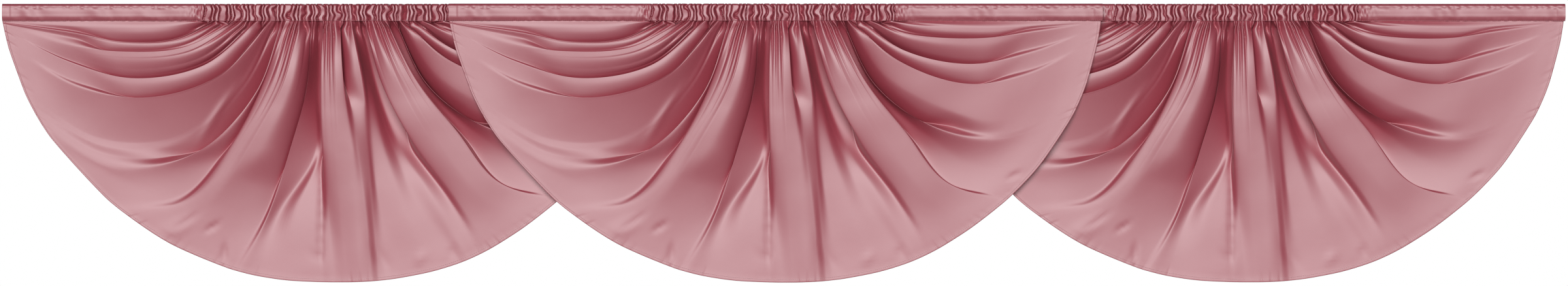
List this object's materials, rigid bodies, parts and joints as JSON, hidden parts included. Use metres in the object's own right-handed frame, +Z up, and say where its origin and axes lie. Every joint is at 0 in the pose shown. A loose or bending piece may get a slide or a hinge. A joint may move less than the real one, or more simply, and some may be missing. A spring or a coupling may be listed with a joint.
{
  "type": "window valance of gathered satin swags",
  "caption": "Window valance of overlapping half-moon satin swags, each with a flat rod pocket gathered over its middle, fanned folds and a narrow hemmed curved edge.",
  "frame": {"origin": "middle of the top edge of the middle swag's rod pocket", "axes": "+X to the right as seen from the room, -Y out of the cloth's face into the room, +Z up; the valance hangs down from the origin"},
  "size_m": [2.564, 0.0714, 0.4583],
  "materials": {
    "rose_satin": "dusty rose satin, soft sheen"
  },
  "bodies": {
    "root": {"center_panel": "rose_satin", "center_rod_pocket": "rose_satin", "left_panel": "rose_satin", "left_rod_pocket": "rose_satin", "right_panel": "rose_satin", "right_rod_pocket": "rose_satin"}
  },
  "joints": []
}
